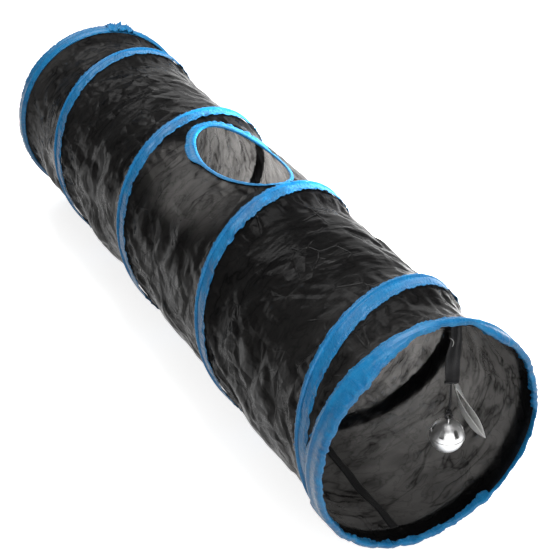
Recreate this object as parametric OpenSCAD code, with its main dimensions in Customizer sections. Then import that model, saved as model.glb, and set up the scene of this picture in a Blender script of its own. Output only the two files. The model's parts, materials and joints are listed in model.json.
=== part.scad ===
// Collapsible pet play tunnel: a fabric tube held open by a spiral of spring steel wire, with a hoop
// at each end, a bound peephole on top and a bell that hangs inside the mouth.
// +X runs along the tunnel towards the mouth, +Z is up, and the tunnel lies on the plane z = 0.

/* [Tunnel] */
// Overall length, from rim to rim
tunnel_l = 880; // [840:5:920]
// Outside diameter over the bound rims
tunnel_d = 250; // [240:1:260]
// Thickness of the fabric tube
fabric_t = 1; // [0.8:0.1:1]
// Height of the flat on which each rim rests
rim_flat = 1.5; // [1:0.1:1.6]

/* [Wire] */
// Diameter of the spring steel wire
wire_d = 2; // [1.6:0.1:2]
// Distance that the spiral advances in one turn
coil_pitch = 225; // [221:0.5:229]
// Angle where the spiral leaves the mouth hoop, from +Y towards +Z
coil_start = 224; // [218:1:230]
// Part of a turn in which the spiral eases away from a hoop
coil_ease = 0.06; // [0.04:0.01:0.1]
// Distance of each hoop behind its rim
hoop_set = 19.5; // [18:0.5:20.5]
// Angle of the hoop that each ferrule covers
ferrule_arc = 7; // [5:1:9]

/* [Bindings] */
// Width of the tape that binds each rim
rim_w = 27; // [25:0.5:28]
// Width of the tape that cases the spiral
casing_w = 27; // [24:0.5:28]
// Distance that the casing's middle lies from the wire, towards the mouth
casing_shift = 8; // [6:0.5:9]
// Width of the tape over the lengthwise seam
seam_w = 10; // [8:0.5:14]
// Angle of the lengthwise seam, from +Y towards +Z
seam_angle = 261; // [250:1:270]
// Angle of the join in the far rim's binding
join_angle = 74; // [60:1:90]
// Arc of the far rim that the join covers
join_arc = 14; // [10:1:18]

/* [Peephole] */
// Length of the peephole cut in the fabric, along the tunnel
hole_l = 167; // [150:1:167]
// Width of the peephole cut in the fabric, round the tunnel
hole_w = 94; // [80:1:94]
// Width of the tape that binds the peephole
hole_tape = 11; // [8:0.5:11]
// Place of the peephole's centre along the tunnel
hole_x = 10.5; // [9.5:0.5:11.5]
// Angle of the peephole's centre, from +Y towards +Z
hole_angle = 84; // [82:1:86]

/* [Bell] */
// Diameter of the bell
bell_d = 33.8; // [31:0.2:35]
// Thickness of the bell's sheet metal
bell_t = 0.8; // [0.6:0.1:1]
// Distance of the bell's axis behind the mouth's rim
bell_inset = 19; // [18:0.5:24]
// Distance of the bell's axis from the middle of the tunnel, towards +Y
bell_y = 29.6; // [28:0.2:32]
// Height of the bell's centre over the tunnel's axis
bell_rise = -12.8; // [-15:0.2:-11]
// Width of the ribbon that the bell hangs from
ribbon_w = 14; // [12:0.5:16]
// Diameter of the elastic cord
cord_d = 2.2; // [1.8:0.1:2.4]
// Diameter of the loose pellet
pellet_d = 7; // [6:0.5:8]

/* [Care label] */
// Length of the folded label
label_l = 66; // [60:1:70]
// Width of the label
label_w = 26; // [20:1:28]
// Angle by which the label stands out from the vertical
label_lean = 23.5; // [22:0.5:26]

/* [Hidden] */
$fn = 64;

// Radii, from the tunnel's axis outwards
gap = 0.15;                                   // clear space between neighbouring layers
rim_r = tunnel_d / 2;
fabric_in = rim_r - 6.2;
fabric_out = fabric_in + fabric_t;
coil_r = fabric_out + 4 * gap + wire_d / 2;   // centre line of every wire
wire_out = coil_r + wire_d / 2;
rim_inner_leg = [fabric_in - 1.4, fabric_in - 0.2];
rim_outer_leg = [wire_out + 0.55, rim_r];
axis_z = rim_r - rim_flat;

// Places along the tunnel
end_x = tunnel_l / 2;
web_t = 1.2;                                  // thickness of the binding across the rim's edge
hoop_x = end_x - hoop_set;
fabric_end = end_x - 1.5;
coil_x = hoop_x - wire_d - 0.1;               // where the spiral lies beside the hoop
tape_end = end_x - rim_w - 0.2;

// Spiral
coil_advance = 2 * coil_x / coil_pitch;       // whole advance, in pitches
coil_turns = coil_advance + coil_ease;
coil_lead = ferrule_arc * 1.3 / 360;          // straight-laid end that the ferrule grips
coil_slope = atan(coil_pitch / (2 * PI * coil_r));
wire_sides = 8;
steps_per_turn = 72;
casing_steps = 72;
seam_turn = (coil_start + 360 - seam_angle) / 360;
far_angle = coil_start - 360 * coil_turns;    // where the spiral meets the far hoop

casing_t = 0.75;
casing_crown = wire_out + gap;
casing_foot = fabric_out + gap;

// Bell, hanging straight down
bell_r = bell_d / 2;
bell_x = end_x - bell_inset;
bell_z = axis_z + bell_rise;
view_turn = -26;                              // direction that the ribbon and the label face
ribbon_top = axis_z + 108.5;
ribbon_t = 1.6;
hem_r = 1.8;
hem_clear = 0.95;                             // room for the cord's end to tip under the hem
hem_z = axis_z + 50;                          // the ribbon's stitched hem, where the cord is sewn in
loop_r = 3;                                   // bell's wire loop, centre line
loop_wire = 1.1;
loop_z = bell_z + bell_r + 1.6;
link_z = loop_z + loop_r - loop_wire / 2 - cord_d / 2 - 0.1;
knot_z = link_z + 9;
knot_r = 2.7;
windows = 6;
window_w = 4.8;
window_low = 21;                              // latitudes of a window's foot and crown
window_high = 50;

// Middle line of the elastic cord: down from the hem, round through the bell's loop and back
cord_drop = hem_z - hem_r - hem_clear;
cord_route = [
    [0, cord_drop], [0, 45 + axis_z], [0.2, 41 + axis_z], [0.3, 36 + axis_z], [0.3, 31 + axis_z],
    [0.2, 26 + axis_z], [0, 22 + axis_z], [0, knot_z + knot_r + gap]
];
cord_eye_r = (knot_z - knot_r - gap - link_z) / 2;

label_top = hem_z - 5;
label_bow = 3.4;                              // half the gap between the label's two layers
label_t = 0.6;
label_set = [-5.5, hem_r + 2.2];              // label's root from the bell's axis, back and sideways

// Turns a shape about the tunnel's axis: local x, y and z become +Y, +Z and +X
module along_tunnel() {
    translate([0, 0, axis_z]) rotate([90, 0, 90]) children();
}

module ring(inner, outer, from, to) {
    translate([0, 0, from]) difference() {
        cylinder(r = outer, h = to - from, $fn = 128);
        translate([0, 0, -1]) cylinder(r = inner, h = to - from + 2, $fn = 128);
    }
}

// Part of a ring, centred on one angle
module arc_band(inner, outer, from, to, middle, arc) {
    rotate([0, 0, middle - arc / 2]) rotate_extrude(angle = arc, $fn = 128)
        translate([inner, from]) square([outer - inner, to - from]);
}

// Advance along the tunnel after s turns, eased at both hoops
function eased(s) = s < 0 ? 0 : s < coil_ease ? s * s / (2 * coil_ease) : s - coil_ease / 2;
function advance(s) = s < coil_turns / 2 ? eased(s) : coil_advance - eased(coil_turns - s);
function spiral_point(s, p) = let (a = coil_start - 360 * s) [
    coil_x - coil_pitch * advance(s) + p[0], p[1] * cos(a), axis_z + p[1] * sin(a)
];

// Sides and end caps of a swept tube with rings of n points, where point j faces point n - 1 - j
function cap_faces(n) = [
    for (j = [0:n / 2 - 2]) for (face = [[j, j + 1, n - 2 - j], [j, n - 2 - j, n - 1 - j]]) face
];
function tube_faces(n, rings) = concat(
    [for (face = cap_faces(n)) [face[2], face[1], face[0]]],
    [for (face = cap_faces(n)) [for (j = face) n * (rings - 1) + j]],
    [for (i = [0:rings - 2]) for (j = [0:n - 1]) [i * n + j, i * n + (j + 1) % n, (i + 1) * n + j]],
    [for (i = [0:rings - 2]) for (j = [0:n - 1])
        [(i + 1) * n + j, i * n + (j + 1) % n, (i + 1) * n + (j + 1) % n]]
);

// Sweeps a section of [along, out] points round the spiral, between two counts of turns
module spiral_sweep(section, from, to, steps) {
    polyhedron(
        points = [for (i = [0:steps]) for (p = section) spiral_point(from + (to - from) * i / steps, p)],
        faces = tube_faces(len(section), steps + 1)
    );
}

module fabric_tube() {
    color("#1b1b1d") difference() {
        along_tunnel() ring(fabric_in, fabric_out, -fabric_end, fabric_end);
        hole_prism(0);
    }
}

// Oval prism through the top of the tunnel, grown by a margin
module hole_prism(margin) {
    along_tunnel() rotate([0, 0, hole_angle]) rotate([0, 90, 0]) linear_extrude(tunnel_d)
        polygon([for (a = [0:7.5:352.5])
            [-hole_x - (hole_l / 2 + margin) * cos(a), (hole_w / 2 + margin) * sin(a)]]);
}

module peephole_binding() {
    color("#2c8ecb") difference() {
        intersection() {
            along_tunnel() ring(fabric_in - 1, fabric_out + 1, -hole_l, hole_l);
            hole_prism(hole_tape - 1);
        }
        hole_prism(-1);
        difference() {
            along_tunnel() ring(fabric_in - 0.1, fabric_out + 0.1, -hole_l - 1, hole_l + 1);
            hole_prism(-0.1);
        }
    }
}

module lengthwise_seam_tape() {
    seam_arc = seam_w / fabric_in * 180 / PI;
    color("#101012") along_tunnel()
        arc_band(fabric_in - 0.9, fabric_in - 0.1, -tape_end, tape_end, seam_angle, seam_arc);
}

module coil_wire() {
    color("#8d9196") spiral_sweep(
        [for (k = [0:wire_sides - 1]) let (t = 360 * k / wire_sides)
            [wire_d / 2 * cos(t) / cos(coil_slope), coil_r + wire_d / 2 * sin(t)]],
        -coil_lead, coil_turns + coil_lead, round(steps_per_turn * coil_turns)
    );
}

// One strip of the casing, a hat-shaped tape sewn down on both sides of the wire
module coil_casing(from, to) {
    back = casing_shift - casing_w / 2;
    front = casing_shift + casing_w / 2;
    ridge = wire_d / 2;
    section = [
        [back, casing_foot], [-ridge - 0.6, casing_foot], [-ridge - 0.1, casing_crown],
        [ridge + 0.1, casing_crown], [ridge + 0.6, casing_foot], [front, casing_foot],
        [front, casing_foot + casing_t], [ridge + 1, casing_foot + casing_t],
        [ridge + 0.3, casing_crown + casing_t], [-ridge - 0.3, casing_crown + casing_t],
        [-ridge - 1, casing_foot + casing_t], [back, casing_foot + casing_t]
    ];
    color("#2c8ecb") spiral_sweep(section, from, to, round(casing_steps * (to - from)));
}

// Cuts a strip square where it runs under a rim's binding
module between_rims() {
    intersection() {
        children();
        translate([-tape_end, -tunnel_d, -tunnel_d]) cube([2 * tape_end, 2 * tunnel_d, 3 * tunnel_d]);
    }
}

module coil_casing_1() { between_rims() coil_casing(0, seam_turn - 0.002); }
module coil_casing_2() { coil_casing(seam_turn + 0.002, seam_turn + 0.998); }
module coil_casing_3() { coil_casing(seam_turn + 1.002, seam_turn + 1.998); }
module coil_casing_4() { between_rims() coil_casing(seam_turn + 2.002, coil_turns); }

module hoop_wire(x) {
    color("#8d9196") along_tunnel() translate([0, 0, x]) rotate_extrude($fn = 128)
        translate([coil_r, 0]) circle(d = wire_d, $fn = 32);
}

// Crimped sleeve that holds the hoop and the end of the spiral side by side
module ferrule(x, angle) {
    middle = x - sign(x) * (wire_d / 2 + 0.05);
    half_in = wire_d + 0.2;
    bore_in = coil_r - wire_d / 2 - gap;
    bore_out = coil_r + wire_d / 2 + 0.05;
    wall = 0.35;
    color("#a9adb2") along_tunnel() rotate([0, 0, angle - ferrule_arc / 2])
        rotate_extrude(angle = ferrule_arc, $fn = 128) difference() {
            translate([bore_in - wall, middle - half_in - wall])
                square([bore_out - bore_in + 2 * wall, 2 * (half_in + wall)]);
            translate([bore_in, middle - half_in]) square([bore_out - bore_in, 2 * half_in]);
        }
}

// Tape folded over a rim, open towards the tunnel, with a flat underneath
module rim_binding(side) {
    edge = [end_x - rim_w, end_x];
    color("#2c8ecb") difference() {
        along_tunnel() mirror([0, 0, side > 0 ? 0 : 1]) {
            difference() {
                ring(rim_inner_leg[0], rim_outer_leg[1], edge[0], edge[1]);
                ring(rim_inner_leg[1], rim_outer_leg[0], edge[0] - 1, edge[1] - web_t);
            }
        }
        translate([-tunnel_l, -tunnel_d, -tunnel_d]) cube([2 * tunnel_l, 2 * tunnel_d, tunnel_d]);
    }
}

module mouth_hoop_wire() { hoop_wire(hoop_x); }
module far_hoop_wire() { hoop_wire(-hoop_x); }
module mouth_ferrule() { ferrule(hoop_x, coil_start + ferrule_arc * 0.7); }
module far_ferrule() { ferrule(-hoop_x, far_angle - ferrule_arc * 0.7); }
module mouth_rim_binding() { rim_binding(1); }
module far_rim_binding() { rim_binding(-1); }

// Overlapped end of the far rim's tape
module far_binding_join() {
    color("#3fa0d8") along_tunnel()
        arc_band(rim_r + 0.1, rim_r + 1.3, -end_x + 0.5, -end_x + rim_w - 1, join_angle, join_arc);
}

// Places a shape on the bell's axis, facing out of the mouth
module at_bell(z) {
    translate([bell_x, bell_y, z]) rotate([0, 0, view_turn]) children();
}

module bell_ribbon() {
    color("#151517") at_bell(0) {
        translate([-ribbon_t / 2, -ribbon_w / 2, hem_z]) cube([ribbon_t, ribbon_w, ribbon_top - hem_z]);
        translate([0, 0, hem_z]) rotate([90, 0, 0])
            cylinder(r = hem_r, h = ribbon_w, center = true, $fn = 32);
    }
}

// Round tube along points in the bell's own upright plane
module cord_tube(route, sides) {
    rings = len(route);
    polyhedron(
        points = [for (i = [0:rings - 1])
            let (
                back = route[max(i - 1, 0)],
                ahead = route[min(i + 1, rings - 1)],
                heading = (ahead - back) / norm(ahead - back)
            )
            for (k = [0:sides - 1]) let (t = 360 * k / sides)
                [0, route[i][0], route[i][1]]
                + cord_d / 2 * cos(t) * [1, 0, 0]
                + cord_d / 2 * sin(t) * [0, -heading[1], heading[0]]],
        faces = tube_faces(sides, rings)
    );
}

module bell_cord() {
    color("#0f0f10") {
        at_bell(0) cord_tube(cord_route, 8);
        at_bell(link_z + cord_eye_r) rotate([0, 90, 0])
            rotate_extrude($fn = 48) translate([cord_eye_r, 0]) circle(d = cord_d, $fn = 24);
    }
}

module bell_cord_knot() {
    color("#0f0f10") at_bell(knot_z) difference() {
        sphere(r = knot_r, $fn = 32);
        translate([0, 0, -knot_z + link_z + cord_eye_r]) rotate([0, 90, 0])
            rotate_extrude($fn = 48) translate([cord_eye_r, 0]) circle(d = cord_d + 0.1, $fn = 24);
    }
}

module half_shell() {
    rotate_extrude($fn = 96) intersection() {
        difference() {
            circle(r = bell_r, $fn = 96);
            circle(r = bell_r - bell_t, $fn = 96);
        }
        square(bell_r);
    }
}

module bell_upper_shell() {
    foot = bell_r * sin(window_low);
    crown = bell_r * sin(window_high);
    color("#c9ccd0") translate([bell_x, bell_y, bell_z]) difference() {
        translate([0, 0, 0.1]) half_shell();
        for (k = [0:windows - 1]) rotate([0, 0, 4 + 360 * k / windows]) {
            translate([bell_r / 3, -window_w / 2, foot]) cube([bell_r, window_w, crown - foot - window_w / 2]);
            translate([bell_r / 3, 0, crown - window_w / 2]) rotate([0, 90, 0])
                cylinder(d = window_w, h = bell_r, $fn = 32);
        }
    }
}

// Lower half, with the rolled seam that grips the upper half's edge
module bell_lower_shell() {
    seam = 0.9;
    color("#c0c3c8") translate([bell_x, bell_y, bell_z]) union() {
        mirror([0, 0, 1]) half_shell();
        rotate_extrude($fn = 96) translate([bell_r + 0.05, -seam]) square([0.5, 2 * seam]);
        rotate_extrude($fn = 96) translate([bell_r - bell_t, -seam]) square([bell_t + 0.1, seam]);
    }
}

module bell_loop() {
    color("#b9bcc1") at_bell(loop_z) rotate([90, 0, 0]) rotate_extrude($fn = 48)
        translate([loop_r, 0]) circle(d = loop_wire, $fn = 24);
}

module bell_pellet() {
    color("#77797c") translate([bell_x, bell_y, bell_z - bell_r + bell_t + pellet_d / 2 + 0.3])
        sphere(d = pellet_d, $fn = 48);
}

// Lens-shaped side view of a strip that is folded in two
module label_side(half_l, bow) {
    arc_r = (half_l * half_l + bow * bow) / (2 * bow);
    intersection() {
        translate([arc_r - bow, 0]) circle(r = arc_r, $fn = 360);
        translate([bow - arc_r, 0]) circle(r = arc_r, $fn = 360);
    }
}

module care_label() {
    half_l = label_l / 2;
    color("#f2f2f0") at_bell(label_top) translate(label_set) rotate([label_lean, 0, 0])
        translate([0, 0, -half_l]) rotate([90, 0, 90])
            linear_extrude(label_w, center = true) difference() {
                label_side(half_l, label_bow);
                label_side(half_l - 3 * label_t, label_bow - label_t);
            }
}

fabric_tube();
lengthwise_seam_tape();
peephole_binding();
coil_wire();
coil_casing_1();
coil_casing_2();
coil_casing_3();
coil_casing_4();
mouth_hoop_wire();
mouth_ferrule();
mouth_rim_binding();
far_hoop_wire();
far_ferrule();
far_rim_binding();
far_binding_join();
bell_ribbon();
bell_cord();
bell_cord_knot();
bell_upper_shell();
bell_lower_shell();
bell_loop();
bell_pellet();
care_label();
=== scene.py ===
"""Looks of a collapsible play tunnel for small pets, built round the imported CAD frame."""

import json
import math

import bpy
import numpy as np
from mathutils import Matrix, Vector
from mathutils.bvhtree import BVHTree

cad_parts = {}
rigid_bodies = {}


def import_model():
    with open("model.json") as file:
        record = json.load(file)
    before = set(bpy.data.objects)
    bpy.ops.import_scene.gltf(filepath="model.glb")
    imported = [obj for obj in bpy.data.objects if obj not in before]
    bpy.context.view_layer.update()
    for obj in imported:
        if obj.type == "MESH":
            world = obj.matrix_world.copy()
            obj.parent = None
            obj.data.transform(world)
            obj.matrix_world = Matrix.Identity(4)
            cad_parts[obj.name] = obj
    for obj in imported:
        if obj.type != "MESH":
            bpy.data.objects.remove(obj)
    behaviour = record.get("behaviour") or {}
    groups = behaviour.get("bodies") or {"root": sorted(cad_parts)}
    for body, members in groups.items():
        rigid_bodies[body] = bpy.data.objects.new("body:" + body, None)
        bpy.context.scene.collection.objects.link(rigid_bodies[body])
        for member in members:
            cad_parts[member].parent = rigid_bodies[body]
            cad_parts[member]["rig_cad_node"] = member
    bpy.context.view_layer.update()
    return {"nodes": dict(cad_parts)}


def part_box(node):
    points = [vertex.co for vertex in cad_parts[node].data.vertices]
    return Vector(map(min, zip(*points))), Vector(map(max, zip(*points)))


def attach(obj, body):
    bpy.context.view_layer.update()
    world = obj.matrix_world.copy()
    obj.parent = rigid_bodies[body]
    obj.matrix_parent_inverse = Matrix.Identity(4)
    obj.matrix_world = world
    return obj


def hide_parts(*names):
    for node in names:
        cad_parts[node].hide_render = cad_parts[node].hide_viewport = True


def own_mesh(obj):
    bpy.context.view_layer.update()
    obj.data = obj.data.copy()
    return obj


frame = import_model()

# ------------------------------------------------------------------ sizes, in metres
rim_low, rim_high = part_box("mouth_rim_binding")
END_X = rim_high.x
RIM_R = rim_high.y
RIM_W = rim_high.x - rim_low.x
AXIS_Z = rim_high.z - RIM_R
FABRIC_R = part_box("fabric_tube")[1].y - 0.0005
HOOP_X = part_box("mouth_hoop_wire")[1].x - 0.001
COIL_X = HOOP_X - 0.0021
PITCH = 0.225                   # advance of the spiral in one turn
COIL_START = 224.0              # degrees from +Y towards +Z where the spiral leaves the mouth
COIL_EASE = 0.06                # part of a turn in which it eases away from a hoop
COIL_ADVANCE = 2 * COIL_X / PITCH
COIL_TURNS = COIL_ADVANCE + COIL_EASE
CASING_BACK = -0.0055           # edges of the spiral's casing, from the wire, and towards the mouth
CASING_FRONT = 0.0215
CASING_FOOT = FABRIC_R + 0.0007
WIRE_R = FABRIC_R + 0.0021      # centre line of the spiral's wire
WIRE_HALF = 0.0010
SEAM_ANGLE = 261.0
SEAM_TURN = (COIL_START + 360 - SEAM_ANGLE) / 360
HOLE_X = 0.0105
HOLE_ANGLE = 84.0
HOLE_HALF = (0.0835, 0.047)     # half the peephole's length and width
JOIN_ANGLE = 74.0
MM = 0.001

bell_low, bell_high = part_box("bell_lower_shell")
BELL_X = (bell_low.x + bell_high.x) / 2
BELL_Y = (bell_low.y + bell_high.y) / 2
VIEW_TURN = math.radians(-26)   # direction that the ribbon and the label face
HEM_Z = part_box("bell_ribbon")[0].z + 0.0018
KNOT_Z = sum(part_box("bell_cord_knot"), Vector()).z / 2
LINK_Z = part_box("bell_cord")[0].z + 0.0011
CORD_D = 0.0022

CAMERA_PLACE = (1.2140, -0.5693, 0.8864)
CAMERA_AIM = Vector((-0.7595, 0.3921, -0.5191))
CAMERA_LENS = 83.98             # millimetres, on a 36 mm sensor
MOUTH_SET_BACK = 0.0125         # how far the tape stands back at the mouth's top
CLOTH_FRAMES = 34
MOST_SAG = 0.0042               # the fabric's shift in the simulation tends to this at most
CLOTH = {"quality": 6, "mass": 0.12, "tension_stiffness": 12, "compression_stiffness": 8,
         "shear_stiffness": 4, "bending_stiffness": 0.06, "tension_damping": 6,
         "compression_damping": 6, "shear_damping": 6, "bending_damping": 0.6, "air_damping": 2.0,
         "vertex_group_mass": "held", "shrink_min": -0.014}
BROAD, MEDIUM, FINE = (0.052, 0.0034), (0.023, 0.0013), (0.0105, 0.00038)  # creases: size, height
LABEL_TWIST = 0.46              # radians, from the label's root to its tip
FABRIC_GLOW = 0.053             # share of the light behind the fabric that comes through it
FABRIC_SPECULAR = 0.035


# ------------------------------------------------------------------ camera
def add_object(name, data):
    made = bpy.data.objects.new(name, data)
    bpy.context.scene.collection.objects.link(made)
    return made


def make_camera():
    """Stands where the object shows its mouth at the lower right and its far end at the upper left."""
    data = bpy.data.cameras.new("camera")
    data.lens = CAMERA_LENS
    data.sensor_width = 36.0
    data.dof.use_dof = False
    data.clip_start = 0.05
    camera = add_object("camera", data)
    camera.location = CAMERA_PLACE
    camera.rotation_euler = CAMERA_AIM.to_track_quat("-Z", "Y").to_euler()
    bpy.context.scene.camera = camera


make_camera()


# ------------------------------------------------------------------ mesh helpers
def new_piece(name, points, faces, smooth=True):
    mesh = bpy.data.meshes.new(name)
    mesh.from_pydata([tuple(p) for p in np.asarray(points, float)], [], faces)
    mesh.update()
    mesh.polygons.foreach_set("use_smooth", [smooth] * len(mesh.polygons))
    return add_object(name, mesh)


def apply_modifiers(piece):
    seen = piece.evaluated_get(bpy.context.evaluated_depsgraph_get())
    mesh = bpy.data.meshes.new_from_object(seen)
    piece.modifiers.clear()
    old = piece.data
    piece.data = mesh
    bpy.data.meshes.remove(old)


def set_attribute(piece, name, values):
    """Stores a vector at each point, for the materials to read."""
    data = piece.data.attributes.new(name, "FLOAT_VECTOR", "POINT")
    data.data.foreach_set("vector", np.asarray(values, np.float32).reshape(-1))


def grid_faces(rows, columns, wrap_rows=False, wrap_columns=False, flip=False):
    faces = []
    for i in range(rows if wrap_rows else rows - 1):
        for j in range(columns if wrap_columns else columns - 1):
            a = i * columns + j
            b = i * columns + (j + 1) % columns
            c = (i + 1) % rows * columns + (j + 1) % columns
            d = (i + 1) % rows * columns + j
            faces.append((d, c, b, a) if flip else (a, b, c, d))
    return faces


def sweep(name, rings, closed=False, flip=False, tape=None):
    """A tube through rings of points, rings[i][j], with flat ends unless it closes on itself."""
    rings = np.asarray(rings, float)
    count, around = rings.shape[:2]
    faces = grid_faces(count, around, closed, True, flip)
    if not closed:
        first = list(range(around))
        last = [(count - 1) * around + j for j in range(around)]
        faces.append(tuple(first if flip else first[::-1]))
        faces.append(tuple(last[::-1] if flip else last))
    piece = new_piece(name, rings.reshape(-1, 3), faces)
    if tape is not None:
        set_attribute(piece, "tape", np.asarray(tape, float).reshape(-1, 3))
    return piece


def flat_strip(name, top, bottom, run, across, edge, flip=False):
    """A thin strip between two sheets of points, with its own coordinates for the materials."""
    tape = np.stack(np.broadcast_arrays(run, across, edge), -1)
    rings = np.concatenate([top, bottom[:, ::-1]], 1)
    return sweep(name, rings, flip=flip, tape=np.concatenate([tape, tape[:, ::-1]], 1))


def unit(vectors):
    return vectors / np.linalg.norm(vectors, axis=1)[:, None]


def wire_rings(line, first, second, radius, around):
    """Round sections along a line, in the plane of two unit vectors at each point."""
    turn = np.arange(around) * 2 * math.pi / around
    circle = first[:, None] * np.cos(turn)[None, :, None] + second[:, None] * np.sin(turn)[None, :, None]
    return line[:, None] + radius * circle


def round_point(x, radius, angle):
    """Point at an angle in radians from +Y towards +Z, at a radius from the tunnel's axis."""
    x, radius, angle = np.broadcast_arrays(x, radius, angle)
    return np.stack([x, radius * np.cos(angle), AXIS_Z + radius * np.sin(angle)], -1)


def smooth_step(low, high, value):
    t = np.clip((value - low) / (high - low), 0, 1)
    return t * t * (3 - 2 * t)


def wave_noise(points, size, seed, octaves=3):
    """Smooth seeded noise in about -1..1, a sum of plane waves with a wavelength near size."""
    points = np.asarray(points, float)
    rng = np.random.default_rng(seed)
    total = np.zeros(points.shape[:-1])
    weight = 0.0
    for octave in range(octaves):
        scale = size / 1.9 ** octave
        strength = 0.6 ** octave
        for _ in range(7):
            direction = rng.normal(size=points.shape[-1])
            direction *= rng.uniform(0.6, 1.4) / np.linalg.norm(direction)
            phase = rng.uniform(0, 2 * math.pi)
            total += strength * np.sin(points @ direction * (2 * math.pi / scale) + phase)
        weight += strength * 1.9
    return total / weight


# ------------------------------------------------------------------ spiral
def eased(s):
    return np.where(s < 0, 0, np.where(s < COIL_EASE, s * s / (2 * COIL_EASE), s - COIL_EASE / 2))


def advance(s):
    s = np.asarray(s, float)
    return np.where(s < COIL_TURNS / 2, eased(s), COIL_ADVANCE - eased(COIL_TURNS - s))


def spiral_x(s):
    return COIL_X - PITCH * advance(s)


def spiral_angle(s):
    return np.radians(COIL_START - 360 * np.asarray(s, float))


COIL_SLOPE = math.atan(PITCH / (2 * math.pi * WIRE_R))


def coil_distance(x, angle):
    """Distance over the fabric from the nearest turn of the spiral, and the side it is on."""
    base = ((math.radians(COIL_START) - angle) / (2 * math.pi)) % 1.0
    best = np.full(np.shape(x), 9.0)
    for turn in range(-1, int(COIL_TURNS) + 2):
        s = base + turn
        inside = (s >= -0.02) & (s <= COIL_TURNS + 0.02)
        gap = (x - spiral_x(np.clip(s, 0, COIL_TURNS))) * math.cos(COIL_SLOPE)
        best = np.where(inside & (np.abs(gap) < np.abs(best)), gap, best)
    return best


def spring_wire():
    """The spiral of spring wire, as one swept piece."""
    turns = np.linspace(0, COIL_TURNS, 420)
    angle = spiral_angle(turns)
    centre = round_point(spiral_x(turns), WIRE_R, angle)
    outward = np.stack([np.zeros(len(turns)), np.cos(angle), np.sin(angle)], -1)
    sideways = np.cross(unit(np.gradient(centre, axis=0)), outward)
    return sweep("coil_spring", wire_rings(centre, outward, sideways, WIRE_HALF, 10))


def tape_gap(distance):
    """Distance outside the nearest casing's edges, negative under it."""
    return np.maximum(CASING_BACK - distance, distance - CASING_FRONT)


def set_back(angle, side):
    """How far the front of a rim's tape stands back from the end: most at the mouth's top."""
    degrees = np.degrees(angle) % 360
    shape = smooth_step(52, 68, degrees) * smooth_step(128, 92, degrees)
    return np.where(side > 0, MOUTH_SET_BACK * shape, 0.001)


# ------------------------------------------------------------------ creased fabric
class Creases:
    """Flat facets with sharp folds between them, over the tube unrolled to x and arc length."""

    def __init__(self, cell, seed, x_size=0.9, arc_size=2 * math.pi * FABRIC_R, jitter=0.42):
        rng = np.random.default_rng(seed)
        self.rows = max(4, round(x_size / cell)) + 3
        self.columns = max(6, round(arc_size / cell))
        shape = (self.rows, self.columns)
        dx = rng.uniform(-jitter, jitter, shape)
        dy = rng.uniform(-jitter, jitter, shape)
        height = rng.uniform(-1, 1, shape)
        turn = rng.random(shape) < 0.5
        points = []
        span = self.columns + 3
        for i in range(self.rows):
            for j in range(-1, self.columns + 2):
                k = j % self.columns
                x = (i + dx[i, k] - self.rows / 2) * cell
                y = (j + dy[i, k]) * arc_size / self.columns
                points.append((x, y, height[i, k]))
        triangles = []
        for i in range(self.rows - 1):
            for j in range(span - 1):
                a = i * span + j
                b, c, d = a + 1, a + span + 1, a + span
                split = turn[i, (j - 1) % self.columns]
                triangles += [(a, b, c), (a, c, d)] if split else [(a, b, d), (b, c, d)]
        self.tree = BVHTree.FromPolygons(points, triangles)
        self.arc_size = arc_size

    def height(self, x, arc):
        down = Vector((0, 0, -1))
        out = np.zeros(len(x))
        for i, (a, b) in enumerate(zip(x.tolist(), (arc % self.arc_size).tolist())):
            hit = self.tree.ray_cast(Vector((a, b, 5)), down)[0]
            out[i] = hit.z if hit is not None else 0.0
        return out


def hole_distance(x, angle):
    """Scaled distance from the peephole's middle: 1 on its edge."""
    turn = (angle - math.radians(HOLE_ANGLE) + math.pi) % (2 * math.pi) - math.pi
    across = FABRIC_R * np.sin(np.clip(turn, -math.pi / 2, math.pi / 2))
    across = np.where(np.abs(turn) > math.pi / 2, 9.0, across)
    return np.hypot((x - HOLE_X) / HOLE_HALF[0], across / HOLE_HALF[1])


FABRIC_END = END_X - 0.0022
GRID_X = 158
GRID_A = 134


def tube_grid():
    """The unrolled tube as a grid of x and angle, with the peephole left out and its edge made smooth."""
    x = np.linspace(-FABRIC_END, FABRIC_END, GRID_X)
    angle = np.arange(GRID_A) * 2 * math.pi / GRID_A
    x, angle = [v.reshape(-1).copy() for v in np.meshgrid(x, angle, indexing="ij")]
    faces = np.array(grid_faces(GRID_X, GRID_A, False, True))
    middle = hole_distance(x[faces], angle[faces]).mean(1)
    faces = faces[middle > 1.0]
    used = np.unique(faces)
    index = np.full(len(x), -1)
    index[used] = np.arange(len(used))
    x, angle, faces = x[used], angle[used], index[faces]
    around_hole = hole_edge(faces.tolist())
    turn = angle[around_hole] - math.radians(HOLE_ANGLE)
    turn = (turn + math.pi) % (2 * math.pi) - math.pi
    across = FABRIC_R * np.sin(turn)
    reach = hole_distance(x[around_hole], angle[around_hole])
    x[around_hole] = HOLE_X + (x[around_hole] - HOLE_X) / reach
    angle[around_hole] = math.radians(HOLE_ANGLE) + np.arcsin(across / reach / FABRIC_R)
    return x, angle, faces


def edge_loops(faces):
    """The edges of an open mesh, each as a list of points in order."""
    sides = dict.fromkeys(side for face in faces for side in zip(face, face[1:] + face[:1]))
    following = {a: b for a, b in sides if (b, a) not in sides}
    loops = []
    left = set(following)
    while left:
        start = min(left)
        loop = [start]
        left.discard(start)
        while following[loop[-1]] != start:
            loop.append(following[loop[-1]])
            left.discard(loop[-1])
        loops.append(loop)
    return loops


def hole_edge(faces):
    """The points on the peephole's edge, in order: the loop that isn't one of the tube's ends."""
    return np.array(max((loop for loop in edge_loops(faces) if len(loop) != GRID_A), key=len))


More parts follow.
